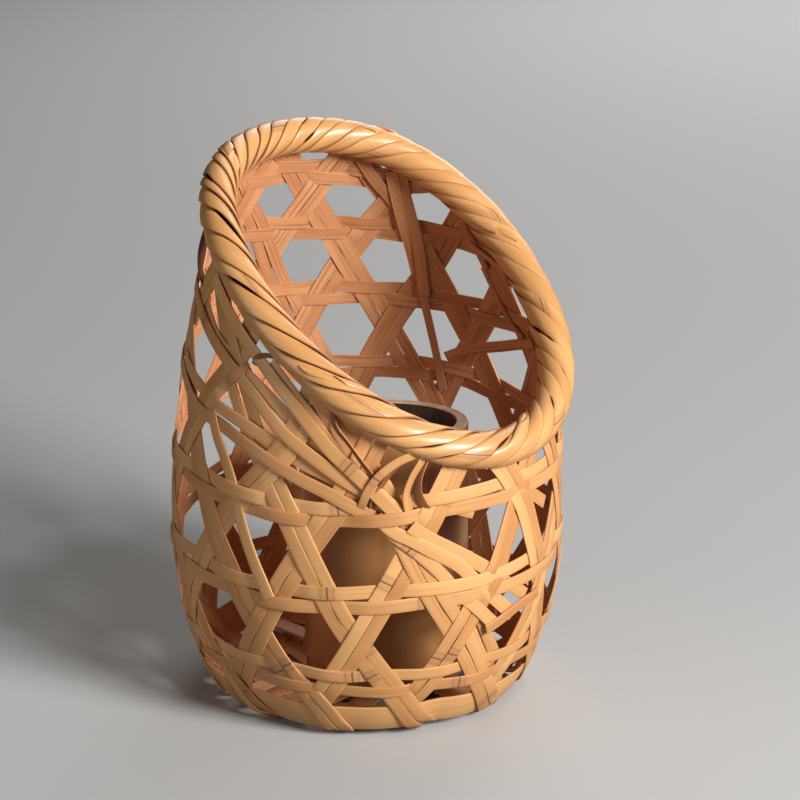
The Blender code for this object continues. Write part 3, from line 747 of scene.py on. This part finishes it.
skin = bamboo(
    "bamboo_skin", (0.75, 0.39, 0.15), (0.61, 0.28, 0.1), (0.34, 0.13, 0.045), 0.42, 0.35,
    marks=0.9, coat=0.12)
skin_light = bamboo(
    "bamboo_skin_light", (0.82, 0.45, 0.18), (0.72, 0.365, 0.135), (0.44, 0.19, 0.065), 0.4, 0.3,
    marks=0.9, coat=0.15)
flesh = bamboo(
    "bamboo_flesh", (0.7, 0.335, 0.155), (0.56, 0.238, 0.1), (0.32, 0.112, 0.042), 0.62, 0.75, 0.2,
    bump=0.5)
rim_skin = bamboo(
    "rim_skin", (0.79, 0.42, 0.163), (0.67, 0.33, 0.12), (0.41, 0.165, 0.052), 0.36, 0.34,
    marks=0.9, coat=0.25)
# Dark brown for the wraps' outer flanks and undersides: painted shade in the seams, where one wrap's edge
# shades the next
rim_seam_painted_shade = bamboo(
    "rim_seam_painted_shade", (0.5, 0.22, 0.08), (0.36, 0.14, 0.05), (0.18, 0.06, 0.02), 0.6, 0.6, 0.2, bump=0.5)
# Darker copy of the flesh: painted shade on the faces of the ties and twists that lie under the rim
flesh_painted_shade = bamboo(
    "bamboo_dark", (0.42, 0.165, 0.06), (0.26, 0.09, 0.03), (0.1, 0.032, 0.012), 0.5, 0.7, 0.2, bump=0.5)
# Near-black copy of the flesh: painted deep shade for the strand hanging under the rim's left side
flesh_painted_deep_shade = bamboo(
    "bamboo_shade", (0.2, 0.075, 0.028), (0.11, 0.038, 0.014), (0.05, 0.018, 0.007), 0.5, 0.6, 0.2, bump=0.4)
# Near-black for the rim's core: painted shade where it shows in the slits between wraps
core_painted_shade = bamboo(
    "rim_core_painted_shade", (0.06, 0.022, 0.009), (0.035, 0.012, 0.005), (0.012, 0.004, 0.002), 0.8, 0.7, 0.3,
    bump=0.5, by_place=True)


def add_piece(name, mesh, body, materials, nodes=()):
    piece = bpy.data.objects.new(name, mesh)
    bpy.context.scene.collection.objects.link(piece)
    for material in materials:
        mesh.materials.append(material)
    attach(piece, body)
    if nodes:
        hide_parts(*nodes)


for strip, lift in zip(strips, lifts):
    flat, width = strip.flat, strip.width
    if strip.closed:
        flat, width, lift = (
            np.concatenate([values[-LOOP_ROWS:], values, values[:LOOP_ROWS]])
            for values in (flat, width, lift))
    grid = strip_grid(flat, smooth(lift, 1), width, strip.thickness)
    if strip.closed:
        grid = grid[LOOP_ROWS:-LOOP_ROWS]
    mesh = band_mesh(strip.name, grid, strip.closed, (strip.seed % 97) * 0.731)
    outer = skin_light if strip.seed % 3 == 0 else skin
    add_piece(strip.name, mesh, "basket", (outer, flesh), strip.nodes)


# Stiffeners inside the base: heading, how far aside, depth
STIFFENERS = (
    (0.0, -0.016, STIFFENER_DEPTH), (0.0, 0.016, STIFFENER_DEPTH), (90.0, 0.0, STIFFENER_DEPTH + 0.0015))
reach = BASE_RADIUS - CORNER_REACH - 0.003
for number, (heading, aside, depth) in enumerate(STIFFENERS, start=1):
    turn = math.radians(heading)
    forward = np.array([math.cos(turn), math.sin(turn)])
    sideways = np.array([-forward[1], forward[0]])
    stop = math.sqrt(reach ** 2 - (abs(aside) + STIFFENER_WIDTH / 2) ** 2)
    flat = np.linspace(-stop, stop, STIFFENER_POINTS)[:, None] * forward + sideways * aside
    width = STIFFENER_WIDTH + wander(number * 5, path_length(flat), 0.03, 0.0002)
    grid = strip_grid(flat, np.full(STIFFENER_POINTS, -depth), width, STIFFENER_THICKNESS)
    name = "base_stiffener_%d" % number
    mesh = band_mesh("bamboo_" + name, grid, False, number * 2.3)
    add_piece("bamboo_" + name, mesh, "basket", (flesh, skin), (name,))


# Bands that hang free of the wall. Rows: degrees, height, how far out, twist in degrees, width, with all
# lengths in mm
def free_band(name, materials, offset, nodes, rows):
    rows = np.array(rows) * (1, MM, MM, 1, MM)
    flat = flat_place(np.radians(rows[:, 0]), rows[:, 1])
    normal = space_slopes(flat)[2]
    knots = space_point(flat) + normal * rows[:, 2:3]
    path, at, place = curve_through(knots, max(int(path_length(knots)[-1] / FREE_SPACING), 12))
    normal = np.stack([smooth(np.interp(at, place, normal[:, k]), 3) for k in range(3)], -1)
    twist = np.radians(smooth(np.interp(at, place, rows[:, 3]), 4))[:, None]
    width = smooth(np.interp(at, place, rows[:, 4]), 4)
    travel = unit(np.gradient(path, axis=0))
    side = unit(np.cross(normal, travel))
    normal = np.cross(travel, side)
    side, normal = (
        side * np.cos(twist) + normal * np.sin(twist), normal * np.cos(twist) - side * np.sin(twist))
    grid = np.stack([
        path + side * (across * width)[:, None] + normal * (through * FREE_THICKNESS)
        for across, through in SECTION], 1)
    add_piece(name, band_mesh(name, grid, False, offset), "basket", materials, nodes)


# The tie, twist and strand faces in the darker copies of the flesh are painted shade under the rim
FREE_BANDS = (
    ("tie_1", (skin, flesh), 1.37, ("rim_tie_1",), (
        (-27.5, 142.5, 1.5, -8, 3.6), (-31.5, 140.2, 3.2, -12, 3.8), (-36.8, 136.8, 4, -18, 4),
        (-41.2, 131.5, 4, -14, 4), (-44.2, 125, 3.2, -6, 3.8), (-46.2, 117.5, 1.2, 0, 3.6),
        (-47.2, 112.5, -1.6, 0, 3.4))),
    ("tie_4", (flesh_painted_shade, flesh), 4.91, (), (
        (-28.5, 140.5, 0.4, -20, 2.4), (-33, 137.8, 1.6, -40, 2.7), (-37.8, 132.2, 2, -52, 3),
        (-41, 125.8, 1.8, -48, 3), (-43, 119, 0.8, -35, 2.8), (-44, 113, -1.4, -20, 2.6))),
    ("tie_2", (skin, flesh), 2.59, ("rim_tie_2",), (
        (-27.8, 144, 0.5, 0, 3.2), (-29.6, 137.5, 2.6, -18, 3.4), (-32.6, 130, 3.4, -34, 3.8),
        (-34.2, 122.5, 3, -38, 4), (-33.6, 115.5, 1.4, -26, 4), (-31.4, 108.5, -1.3, -10, 3.8))),
    ("tie_3", (flesh_painted_shade, flesh), 3.11, ("rim_tie_3",), (
        (-27, 143.5, -0.2, 60, 2.6), (-28.6, 136.5, 1.2, 58, 3), (-30.6, 129.5, 2, 48, 3.6),
        (-31, 123.5, 1.8, 36, 4), (-29.4, 116.8, 1, 22, 4.2), (-26.4, 110.5, -1.2, 8, 4))),
    ("twist_1", (flesh_painted_shade, flesh), 6.07, (), (
        (-55.5, 158.5, -0.5, 10, 2.4), (-53.6, 151.5, 2.2, 35, 2.7), (-49.8, 144.8, 3.4, 48, 2.8),
        (-46.2, 137.1, 3.4, 48, 2.8), (-43.4, 130.8, 2.2, 30, 2.6), (-41.5, 126.2, 0.2, 10, 2.4))),
    ("twist_2", (flesh_painted_shade, flesh), 7.43, (), (
        (-82.6, 172.2, -0.8, 10, 2.6), (-81, 175.2, 1, 30, 2.6), (-78.4, 177.2, 2.2, 45, 2.6),
        (-74.6, 177.7, 1.8, 40, 2.5), (-71, 176.5, 0, 10, 2.4))),
    ("twist_3", (flesh, flesh), 8.29, (), (
        (-93.4, 159, -0.8, 0, 4.2), (-91.2, 162.5, 1.4, 8, 4.6), (-88.6, 166, 1.8, 12, 4.6),
        (-86.2, 168.8, 1, 8, 4.4), (-84.4, 170.8, -0.8, 0, 4.2))),
    # The strand's colour is painted shade: it hangs in the rim's shadow
    ("strand", (flesh_painted_deep_shade, flesh_painted_deep_shade), 5.53, (), (
        (-121, 229.5, 0.4, 20, 3), (-124.5, 222, 1.5, 45, 3.8), (-126, 214, 1.7, 58, 4.2),
        (-125, 206.5, 1.8, 62, 4), (-122, 199.5, 1.3, 45, 3.6), (-119, 193.5, -0.6, 20, 3.2))))
for name, materials, offset, nodes, rows in FREE_BANDS:
    free_band("bamboo_" + name, materials, offset, nodes, rows)


# ---- Rim ----
def roll_points(distance, turn, radius):
    angle = np.interp(distance % RIM_LENGTH, rim_lengths, rim_angles)
    travel = unit(rim_centre(angle + 0.01) - rim_centre(angle - 0.01))
    outward = outward_at(angle)
    outward = unit(outward - travel * (outward * travel).sum(1)[:, None])
    upward = np.cross(outward, travel)
    away = outward * np.cos(turn)[:, None] + upward * np.sin(turn)[:, None]
    return rim_centre(angle) + away * np.reshape(radius, (-1, 1))


def turns_made(distance):
    share = distance / RIM_LENGTH
    made = share
    for times, swing, tightest in WRAP_SWINGS:
        start = math.radians(tightest) * times
        waves = np.sin(2 * np.pi * times * share - start) + math.sin(start)
        made = made + swing * waves / (2 * np.pi * times)
    return WRAP_TURNS * made


FADE_TURNS = 0.6
wrap_distances = np.linspace(-0.2, 1.3, 3001) * RIM_LENGTH
wrap_turns = turns_made(wrap_distances)


def steady_wander(seed, turns, reach, size):
    return sway(seed, int(WRAP_TURNS / reach) + 3, turns / reach, size)


def lap_fade(turns):
    return np.clip(np.minimum(turns, WRAP_TURNS - turns) / FADE_TURNS, 0, 1)


# The line between two neighbouring wraps, irregular as hand work is
def wrap_seam(number, turns):
    turns = turns + number // WRAP_STARTS
    wrapped = number % WRAP_STARTS
    laps = np.floor(turns / WRAP_TURNS)
    turns = turns - laps * WRAP_TURNS
    seed = wrapped * 11 + 5
    strayed = steady_wander(seed, turns, 0.5, 0.042) + steady_wander(seed + 3, turns, 0.13, 0.013)
    phase = turns + (wrapped - 0.5) / WRAP_STARTS + strayed * lap_fade(turns)
    return np.interp(phase, wrap_turns, wrap_distances) + laps * RIM_LENGTH


WRAP_PROFILE = (
    (0.0, -0.2), (0.012, 0.3), (0.055, 0.46), (0.28, 0.5), (0.5, 0.52), (0.72, 0.5),
    (0.945, 0.46), (0.988, 0.36), (1.0, 0.1), (0.985, -0.5), (0.5, -0.45), (0.02, -0.5))
WRAP_STEPS = 64
TURN_LENGTH = 0.094
WRAP_THICKNESS = 0.0008
WRAP_CROWN = 0.00034
WRAP_SEAT = 0.0006
LAP_BACK, LAP_ON = 0.0006, 0.0005
SLIT_BACK, SLIT_ON = 0.0007, 0.0004
# How much the later edge of a wrap stands up: everywhere, more where it is slack, by chance
EDGE_RISE, SLACK_RISE, CHANCE_RISE = 0.00062, 0.0003, 0.00026
END_RISE = 0.00012
STUB_TURNS = (-0.12, -0.008)
# Slits where neighbouring wraps part: degrees round the mouth, degrees round the roll, half length and
# opening in mm
SLITS = (
    (163, 117, 5.5, 1.2), (163, 176, 6.5, 1.2), (-111, 87, 8, 2.2),
    (-89, 36, 8.5, 3), (-71, 18, 7, 2), (-60, -12, 7, 1.8),
    (-38, -40, 6, 2), (-29, 0, 8, 2.6), (-24, -18, 8, 3),
    (-8.5, 42, 6.5, 2.2), (13.5, 3, 7, 2.2), (17.5, 69, 6.5, 2),
    (42.5, 111, 6, 1.6), (48, 129, 7, 2.4), (96, 75, 6, 1.2),
    (118, 60, 6, 1.2), (-135, 60, 6, 1.4), (31, 54, 6, 1.4))
# Cut ends lying on the wraps: degrees round the mouth, degrees round the roll, which way, turns, width
CUT_ENDS = (
    (-150.5, 128, -1, 0.22, 0.0082), (-53.5, 30, 1, 0.24, 0.007), (80.0, 150, 1, 0.18, 0.0066),
    (2.5, 78, -1, 0.25, 0.0076), (128.0, 95, -1, 0.22, 0.0078))


def nearest_turn(degrees, around, lines, turns):
    spot = np.interp(math.radians(degrees % 360), rim_angles, rim_lengths)
    along = (np.stack(lines) - spot + RIM_LENGTH / 2) % RIM_LENGTH - RIM_LENGTH / 2
    angle = (2 * np.pi * turns - math.radians(around) + np.pi) % (2 * np.pi) - np.pi
    gap = along ** 2 + (ROLL_RADIUS * angle) ** 2
    return np.unravel_index(gap.argmin(), gap.shape)


def wrap_grid(low, high, turns, base, raised):
    columns = []
    for across, through in WRAP_PROFILE:
        crown = 4 * across * (1 - across)
        radius = base + through * WRAP_THICKNESS + WRAP_CROWN * crown + raised * (across - 0.35) * 1.5
        columns.append(roll_points(low * (1 - across) + high * across, 2 * np.pi * turns, radius))
    return np.stack(columns, 1)


def make_wraps():
    count = WRAP_TURNS * WRAP_STEPS
    turns = np.arange(0, count) / WRAP_STEPS
    seams = [wrap_seam(number, turns) for number in range(WRAP_STARTS + 1)]
    lows = [seam - LAP_BACK for seam in seams[:-1]]
    highs = [seam + LAP_ON for seam in seams[1:]]
    for degrees, around, half, opening in SLITS:
        number, at = nearest_turn(degrees, around, seams[1:], turns)
        away = (np.arange(count) - at + count // 2) % count - count // 2
        lens = np.clip(1 - (away / WRAP_STEPS * TURN_LENGTH / (half * MM)) ** 2, 0, 1)
        highs[number] = highs[number] - (opening * MM / 2 + SLIT_BACK) * lens
        shift = np.roll(lens, WRAP_STEPS) if number == WRAP_STARTS - 1 else lens
        after = (number + 1) % WRAP_STARTS
        lows[after] = lows[after] + (opening * MM / 2 + SLIT_ON) * shift
    for number, (low, high) in enumerate(zip(lows, highs)):
        middle = ((low + high) / 2) % RIM_LENGTH / RIM_LENGTH
        slack = 0.5 - 0.5 * np.cos(2 * np.pi * (middle - 0.22))
        uneven = steady_wander(number * 19 + 3, turns, 0.35, CHANCE_RISE) * lap_fade(turns)
        raised = EDGE_RISE + SLACK_RISE * slack + uneven
        grid = wrap_grid(low, high, turns, ROLL_RADIUS - WRAP_SEAT, raised)
        node = ("rim_wrap_%d" % (number + 1),) if number < WRAP_NODES else ()
        name = "bamboo_rim_strip_%d" % (number + 1)
        # Only the middle of each wrap takes the skin; its flanks take the painted seam shade
        mesh = band_mesh(name, grid, True, number * 3.17, 2, 6)
        add_piece(name, mesh, "basket", (rim_skin, rim_seam_painted_shade), node)
    make_cut_ends([(low + high) / 2 for low, high in zip(lows, highs)], turns)


# Each cut end tapers down to the wraps, with the short stub that it was cut from behind it
def make_cut_ends(middles, turns):
    count = len(turns)
    for order, (degrees, around, way, length, width) in enumerate(CUT_ENDS, start=1):
        number, at = nearest_turn(degrees, around, middles, turns)
        laps = np.concatenate([middles[number] + lap * RIM_LENGTH for lap in (-1, 0, 1)])
        for part, first, last in (("", 0.0, length), ("_stub", *STUB_TURNS)):
            steps = np.linspace(first, last, max(int(abs(last - first) * WRAP_STEPS), 6)) * way * WRAP_STEPS
            places = at + steps
            share = np.linspace(0, 1, len(steps))
            if way < 0:
                places, share = places[::-1], share[::-1]
            spots = np.interp(places, np.arange(-count, 2 * count), laps)
            if part:
                run, rise = width * 0.88 + 0 * share, 0.00045 - 0.00135 * share ** 2
            else:
                run, rise = width * (1 - 0.25 * share ** 2), 0.00062 - 0.0019 * share ** 2
            low, high = spots - run / 2, spots + run / 2
            grid = wrap_grid(low, high, places / WRAP_STEPS, ROLL_RADIUS + rise, END_RISE + 0 * share)
            name = "bamboo_rim_end_%d%s" % (order, part)
            mesh = band_mesh(name, grid, False, 11.0 + order * 0.87)
            add_piece(name, mesh, "basket", (rim_skin, flesh))


make_wraps()
# The rim's core takes the near-black painted slit shade
core_materials = bpy.data.objects["rim_core"].data.materials
core_materials.clear()
core_materials.append(core_painted_shade)


# ---- Water tube ----
TUBE_SEGMENTS = 128
TUBE_GIRTH = 0.234


# A turned shape: radius, height, then what the face up to here shows (0 skin, 1 cut grain, 2 inside)
def tube_piece():
    angles = np.linspace(0, 2 * np.pi, TUBE_SEGMENTS, endpoint=False)
    wobble = 1 + 0.006 * np.cos(2 * angles + 0.7) + 0.002 * np.cos(5 * angles)
    outer, top = TUBE_RADIUS, TUBE_HEIGHT
    inside = outer - TUBE_WALL
    outline = (
        (0.0, 0.012, 2), (inside * 0.45, 0.0121, 2), (inside - 0.004, 0.0125, 2), (inside - 0.001, 0.015, 2),
        (inside, 0.02, 2), (inside, 0.06, 2), (inside, top - 0.0005, 2), (inside + 0.0004, top, 1),
        (outer - 0.0009, top, 1), (outer - 0.0003, top - 0.0003, 0), (outer, top - 0.0012, 0),
        (outer, 0.09, 0), (outer + 0.0002, 0.06, 0), (outer, 0.03, 0), (outer + 0.0001, 0.016, 0),
        (outer + 0.0006, 0.0125, 0), (outer + 0.0012, 0.0108, 0), (outer + 0.0012, 0.0098, 0),
        (outer + 0.0002, 0.0086, 0), (outer - 0.0007, 0.0078, 0), (outer - 0.0006, 0.007, 0),
        (outer - 0.0004, 0.004, 0), (outer - 0.0006, 0.0008, 0), (outer - 0.0014, 0.0, 1),
        (outer * 0.5, 0.0, 1), (0.0, 0.0, 1))
    vertices, rows = [], []
    for radius, level, _ in outline:
        around = TUBE_SEGMENTS if radius else 1
        rows.append(range(len(vertices), len(vertices) + around))
        for angle, scale in zip(angles[:around], wobble):
            shape = scale if radius > inside - 0.005 else 1.0
            away = radius * (math.cos(angle) + math.sin(angle)) * math.sqrt(0.5)
            slope = -away * math.tan(math.radians(TUBE_CUT_TILT)) if level > 0.1 else 0.0
            vertices.append((
                TUBE_CENTRE[0] + radius * shape * math.cos(angle),
                TUBE_CENTRE[1] + FRAME_SHIFT + radius * shape * math.sin(angle), TUBE_BOTTOM + level + slope))
    faces, parts, uvs = [], [], []
    for here, there, start, end in zip(rows, rows[1:], outline, outline[1:]):
        part = end[2]
        v0, v1 = (start[0], end[0]) if part == 1 else (start[1], end[1])
        for k in range(TUBE_SEGMENTS):
            n = (k + 1) % TUBE_SEGMENTS
            u0, u1 = k / TUBE_SEGMENTS * TUBE_GIRTH, (k + 1) / TUBE_SEGMENTS * TUBE_GIRTH
            corners = [
                (here[k % len(here)], (v0, u0)), (there[k % len(there)], (v1, u0)),
                (there[n % len(there)], (v1, u1)), (here[n % len(here)], (v0, u1))]
            if len(here) == 1:
                del corners[3]
            if len(there) == 1:
                del corners[2]
            faces.append([corner[0] for corner in corners])
            uvs += [corner[1] for corner in corners]
            parts.append(part)
    mesh = new_mesh("water_tube_look", vertices, faces, parts, [part != 1 for part in parts], uvs)
    check = bmesh.new()
    check.from_mesh(mesh)
    bmesh.ops.recalc_face_normals(check, faces=check.faces)
    check.to_mesh(mesh)
    check.free()
    return mesh


tube_skin = bamboo(
    "tube_skin", (0.47, 0.23, 0.086), (0.37, 0.168, 0.058), (0.17, 0.062, 0.022), 0.33, 0.14, 0.7,
    bump=0.08, coat=0.3)
tube_grain = bamboo(
    "tube_grain", (0.66, 0.47, 0.33), (0.5, 0.34, 0.235), (0.24, 0.14, 0.08), 0.7, 0.4, 0.9, bump=0.6)
tube_lacquer = bamboo(
    "tube_lacquer", (0.03, 0.014, 0.008), (0.012, 0.006, 0.004), (0.15, 0.07, 0.03), 0.52, 0.7, 0.0,
    bump=0.3, coat=0.04)
add_piece(
    "bamboo_water_tube", tube_piece(), "water_tube", (tube_skin, tube_grain, tube_lacquer),
    ("water_tube",))


# ---- Studio ----
FLOOR_SEEN = (0.5, 0.51, 0.52, 1.0)
FLOOR_LIT = (0.2, 0.2, 0.205, 1.0)
BACKDROP = (0.55, 0.57, 0.6, 1.0)
AIR = (0.96, 0.92, 0.87, 1.0)
AIR_STRENGTH = 0.022

mesh = bpy.data.meshes.new("studio_floor")
shape = bmesh.new()
bmesh.ops.create_grid(shape, x_segments=1, y_segments=1, size=6.0)
shape.to_mesh(mesh)
shape.free()
floor = bpy.data.objects.new("studio_floor", mesh)
bpy.context.scene.collection.objects.link(floor)
material = bpy.data.materials.new("studio_floor")
material.use_nodes = True
tree = material.node_tree
sight = new_node(tree, "LightPath").outputs["Is Camera Ray"]
connect(tree.nodes["Principled BSDF"], {
    "Roughness": 0.9, "Base Color": mixed(tree, sight, FLOOR_LIT, FLOOR_SEEN)})
mesh.materials.append(material)
floor.location.z = -0.0002

world = bpy.data.worlds.new("studio")
bpy.context.scene.world = world
world.use_nodes = True
sky = world.node_tree
lit = connect(sky.nodes["Background"], {"Color": AIR, "Strength": AIR_STRENGTH})
seen = connect(new_node(sky, "Background"), {"Color": BACKDROP, "Strength": 1.0})
choice = connect(new_node(sky, "MixShader"), {
    "Fac": new_node(sky, "LightPath").outputs["Is Camera Ray"],
    1: lit.outputs["Background"], 2: seen.outputs["Background"]})
connect(sky.nodes["World Output"], {"Surface": choice.outputs["Shader"]})

# The photo's side: how far the view is turned round the basket, then the fitted camera
VIEW_TURN = -45.0
PICTURE_SIZE = 800.0
MIDDLE_COLUMN = 364.0
FOCAL_PIXELS = 2932.0
SENSOR_WIDTH = 36.0
PITCH = 19.4
EYE = (0.0, -1.25, 0.574)


def to_object(x, y, z):
    turn = math.radians(VIEW_TURN)
    return Vector((
        x * math.cos(turn) - y * math.sin(turn), x * math.sin(turn) + y * math.cos(turn) + FRAME_SHIFT, z))


def aimed(name, data, place, target):
    made = bpy.data.objects.new(name, data)
    bpy.context.scene.collection.objects.link(made)
    start, end = to_object(*place), to_object(*target)
    made.location = start
    made.rotation_euler = (end - start).to_track_quat("-Z", "Y").to_euler()
    return made


LAMP_TARGET = (0.0, 0.0, 0.12)
# Lamps: name, place, size, power, colour
LAMPS = (
    ("key_lamp", (1.32, -1.16, 1.02), 0.75, 60.0, (1.0, 0.98, 0.95)),
    ("fill_lamp", (-1.5, -0.9, 0.55), 1.2, 6.5, (1.0, 0.93, 0.84)),
    ("back_lamp", (0.5, 1.6, 0.9), 1.3, 13.0, (1.0, 0.97, 0.93)))
for name, place, size, power, colour in LAMPS:
    data = bpy.data.lights.new(name, "AREA")
    data.shape = "DISK"
    data.size = size
    data.energy = power
    data.color = colour
    aimed(name, data, place, LAMP_TARGET)

camera_data = bpy.data.cameras.new("camera")
camera_data.sensor_width = SENSOR_WIDTH
camera_data.lens = SENSOR_WIDTH * FOCAL_PIXELS / PICTURE_SIZE
pitch = math.radians(PITCH)
yaw = math.atan((PICTURE_SIZE / 2 - MIDDLE_COLUMN) / FOCAL_PIXELS)
ahead = Vector((math.sin(yaw) * math.cos(pitch), math.cos(yaw) * math.cos(pitch), -math.sin(pitch)))
bpy.context.scene.camera = aimed("camera", camera_data, EYE, [near + far for near, far in zip(EYE, ahead)])
bpy.context.scene.view_settings.view_transform = "Standard"
